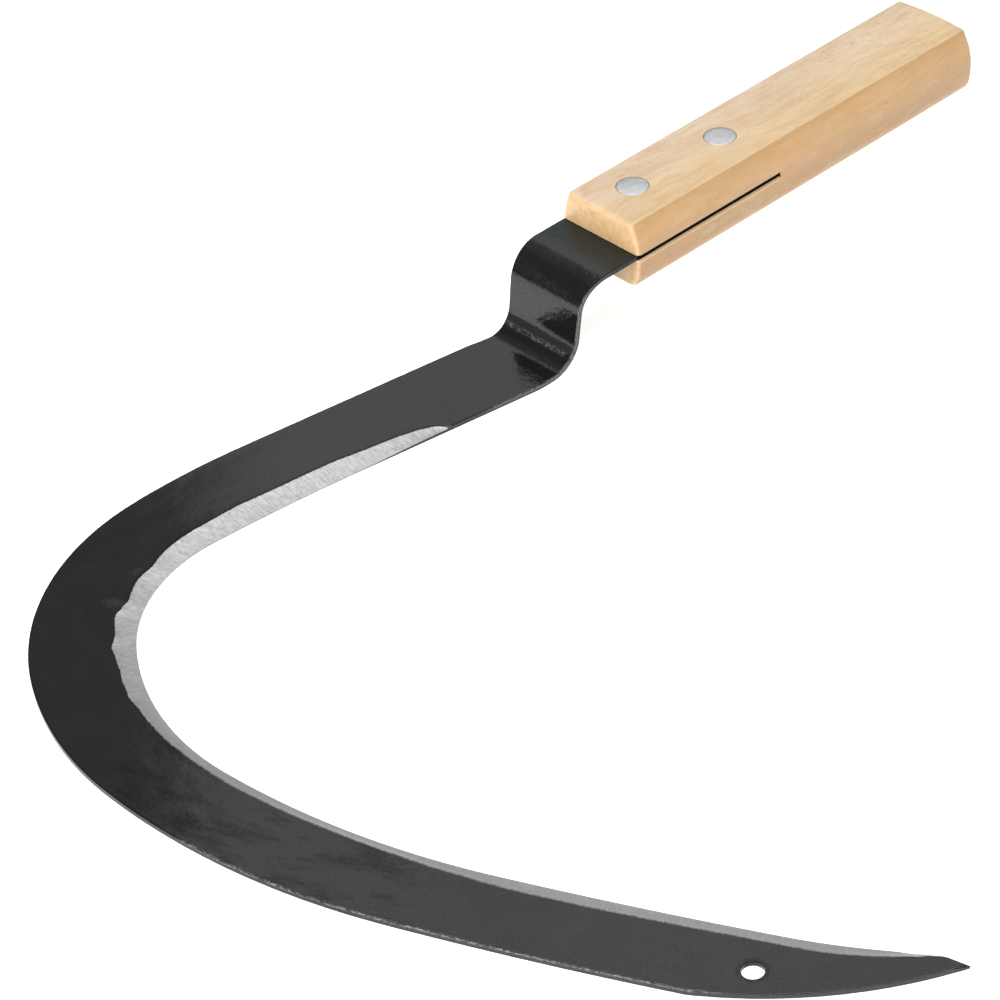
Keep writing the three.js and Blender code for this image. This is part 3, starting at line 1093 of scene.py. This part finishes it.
def edge_layers(paint, x, across, up):
    """Painted highlight on the broken edges, partly worn wood; painted light on the slot's lower
    lips; and painted shade inside the slot.
    """
    top = HANDLE_MIDDLE + HANDLE_THICKNESS / 2
    from_middle = paint.math("ABSOLUTE", across)
    upper_edge = paint.band(from_middle, TOP_WIDTH / 2 - 0.2, TOP_WIDTH / 2 + 0.05, 0.15)
    upper_edge = paint.product(upper_edge, paint.ramp(up, top - 0.7, top - 0.4), 0.5)
    end_edge = paint.product(paint.band(x, 0.3, 0.6, 0.25), 0.12)
    before_end = paint.ramp(x, SLOT_LENGTH + 0.05, SLOT_LENGTH + 0.02)
    slot_floor = TANG_MIDDLE - SLOT_HEIGHT / 2
    lip = paint.band(up, slot_floor - 0.7, slot_floor - 0.1, 0.1)
    from_tang = paint.math("ABSOLUTE", paint.math("SUBTRACT", up, TANG_MIDDLE))
    sawn = paint.ramp(from_tang, SLOT_HEIGHT / 2 + 0.06, SLOT_HEIGHT / 2 + 0.02)
    return [
        # Painted highlight, partly worn wood, along the upper edges and the front end's edge
        (paint.math("MAXIMUM", upper_edge, end_edge), EDGE_HIGHLIGHT),
        # Painted light on the slot's lower lips, against the shadow of the upper lip
        (paint.product(lip, before_end), SLOT_LIP_LIGHT),
        # Painted shade inside the slot
        (paint.product(sawn, before_end), SLOT_SHADE),
    ]


def lacquered_wood():
    """Pale close-grained hardwood under a clear satin lacquer; the grain runs along X."""
    paint = Paint("lacquered_wood")
    straight = paint.place()
    x, across, up = paint.split(straight)
    slow = paint.scaled(straight, 0.035, 0.06, 0.06)
    sway = paint.node("ShaderNodeTexNoise", slow, None, 1.0, 1.0).outputs["Color"]
    swaying = paint.vector("ADD", straight, paint.scaled(sway, 0, 9, 9))
    figure = paint.noise(paint.scaled(swaying, 0.045, 0.5, 0.5, 2.5), 4, 0.6)
    pores = paint.noise(paint.scaled(swaying, 0.2, 3.0, 3.0, 2.5), 2, 0.5)
    wood = bare_wood(paint, x, across, up)
    wood = paint.layered(wood, grain_layers(paint, straight, swaying, figure, pores))
    wood = paint.layered(wood, edge_layers(paint, x, across, up))
    paint.set(
        Base_Color=wood,
        Roughness=paint.ramp(figure, 0.3, 0.7, 0.42, 0.52),
        Coat_Weight=0.35,
        Coat_Roughness=0.22,
        Normal=paint.bump(pores, -0.015, paint.bump(figure, 0.03)),
    )
    return paint.material


def rivet_aluminium():
    """Dull aluminium, sanded with the wood and smeared by the hammer."""
    paint = Paint("rivet_aluminium")
    place = paint.place()
    smears = paint.noise(paint.scaled(place, 0.9, 0.9, 0.9), 4, 0.6)
    sanding = paint.noise(paint.scaled(place, 0.9, 9, 2, 24), 2, 0.6)
    tone = paint.math("ADD", paint.product(smears, 0.6), paint.product(sanding, 0.4))
    paint.set(
        Base_Color=paint.mix(paint.ramp(tone, 0.35, 0.65), grey(0.52, -0.01), grey(0.62, -0.01)),
        Metallic=0.85,
        Roughness=paint.ramp(smears, 0.3, 0.7, 0.38, 0.55),
        Normal=paint.bump(sanding, 0.008),
    )
    return paint.material


def pale_paper():
    """The floor: matt white with the faintest unevenness."""
    paint = Paint("pale_paper")
    mottle = paint.noise(paint.scaled(paint.place(), 0.01, 0.01, 0.01), 3)
    paint.set(
        Base_Color=paint.mix(mottle, grey(0.68), grey(0.7)),
        Roughness=0.9,
        Emission_Color=grey(1.0),
        Emission_Strength=FLOOR_GLOW,
    )
    return paint.material


# ---------------------------------------------------------------- stage


FLOOR_GLOW = 0.85  # the paper lies on a light table, which keeps shadows faint
FLOOR_REACH = 7000.0
FLOOR_CELLS = 8

# Where the photo was taken from; angles in degrees
CAMERA_PLACE = (-0.631251, -0.620210, 0.7)
CAMERA_HEADING = 49.5
CAMERA_PITCH = -37.5
CAMERA_ROLL = -4.55
CAMERA_LENS = 145.08


def make_floor():
    """A wide sheet of paper under the tool."""
    line = np.linspace(-FLOOR_REACH, FLOOR_REACH, FLOOR_CELLS + 1)
    points = [(x, y, 0) for y in line for x in line]
    row_size = FLOOR_CELLS + 1
    faces = []
    for row in range(FLOOR_CELLS):
        for column in range(FLOOR_CELLS):
            a = row * row_size + column
            faces.append((a, a + 1, a + row_size + 1, a + row_size))
    floor = make_object("floor", points, faces)
    floor.data.materials.append(pale_paper())


def face_along(forward, up_hint):
    """Rotation that points an object's own -Z along forward."""
    right = forward.cross(up_hint).normalized()
    up = right.cross(forward)
    return Matrix((right, up, -forward)).transposed().to_4x4()


def softbox(name, place, facing, up, size, radiance):
    """A rectangular lamp, width by height, that looks as bright as the given radiance."""
    width, height = size
    light = bpy.data.lights.new(name, "AREA")
    light.shape = "RECTANGLE"
    light.size = width
    light.size_y = height
    light.energy = math.pi * width * height * radiance
    lamp = bpy.data.objects.new(name, light)
    bpy.context.scene.collection.objects.link(lamp)
    turned = face_along(Vector(facing).normalized(), Vector(up))
    lamp.matrix_world = Matrix.Translation(place) @ turned


def light_scene():
    """Four softboxes in a dim room."""
    upward = (0, 0, 1)
    softbox("overhead", (-0.1, 0.1, 2.2), (0, 0, -1), (0, 1, 0), (2.6, 2.6), 2.5)
    # The blade mirrors this one, and its left side is where the far end of the shank turns dark
    toward_blade = (-0.4935, -0.548, -0.6756)
    leaning = (-0.546, -0.4095, 0.731)
    softbox("back_right", (0.6306, 0.4656, 0.8867), toward_blade, leaning, (0.907, 1.1), 0.79)
    # The far end of the shank and the start of the curve mirror this dimmer one
    toward_middle = (-0.205, -0.738, -0.643)
    softbox("back_left", (0.614, 2.215, 1.93), toward_middle, upward, (1.6, 1.6), 0.165)
    softbox("front", (-1.6, 0.0, 0.45), (1, 0.07, -0.25), upward, (1.3, 1.0), 5.6)
    world = bpy.data.worlds.new("dim_studio")
    world.use_nodes = True
    background = world.node_tree.nodes["Background"]
    background.inputs["Color"].default_value = (1, 1, 1, 1)
    background.inputs["Strength"].default_value = 0.1
    bpy.context.scene.world = world
    bpy.context.scene.view_settings.view_transform = "Standard"


def make_camera():
    """At the photo's angle."""
    camera = bpy.data.cameras.new("camera")
    camera.sensor_width = 36
    camera.lens = CAMERA_LENS
    camera.clip_start = 0.05
    camera.clip_end = 40
    camera.shift_x = -0.0005
    camera.shift_y = 0.0005
    heading = math.radians(CAMERA_HEADING)
    pitch = math.radians(CAMERA_PITCH)
    roll = math.radians(CAMERA_ROLL)
    level = math.cos(pitch)
    forward = Vector((level * math.cos(heading), level * math.sin(heading), math.sin(pitch)))
    turned = face_along(forward, Vector((0, 0, 1))) @ Matrix.Rotation(roll, 4, "Z")
    seen_from = bpy.data.objects.new("camera", camera)
    bpy.context.scene.collection.objects.link(seen_from)
    seen_from.matrix_world = Matrix.Translation(CAMERA_PLACE) @ turned
    bpy.context.scene.camera = seen_from


# ---------------------------------------------------------------- the sickle


def finish_piece(piece, node, material):
    """Gives a piece its material, hangs it under the root body and hides the CAD node it replaces.
    """
    piece.data.materials.clear()
    piece.data.materials.append(material)
    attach(piece, "root")
    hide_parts(node)


make_camera()
light_scene()
make_floor()
finish_piece(make_blade(), "blade", blackened_steel())
finish_piece(make_handle(), "handle", lacquered_wood())
aluminium = rivet_aluminium()
for seed, (node, (x, y)) in enumerate(RIVET_PLACES.items()):
    rivet = make_rivet("sickle_" + node, x, y, seed)
    finish_piece(rivet, node, aluminium)
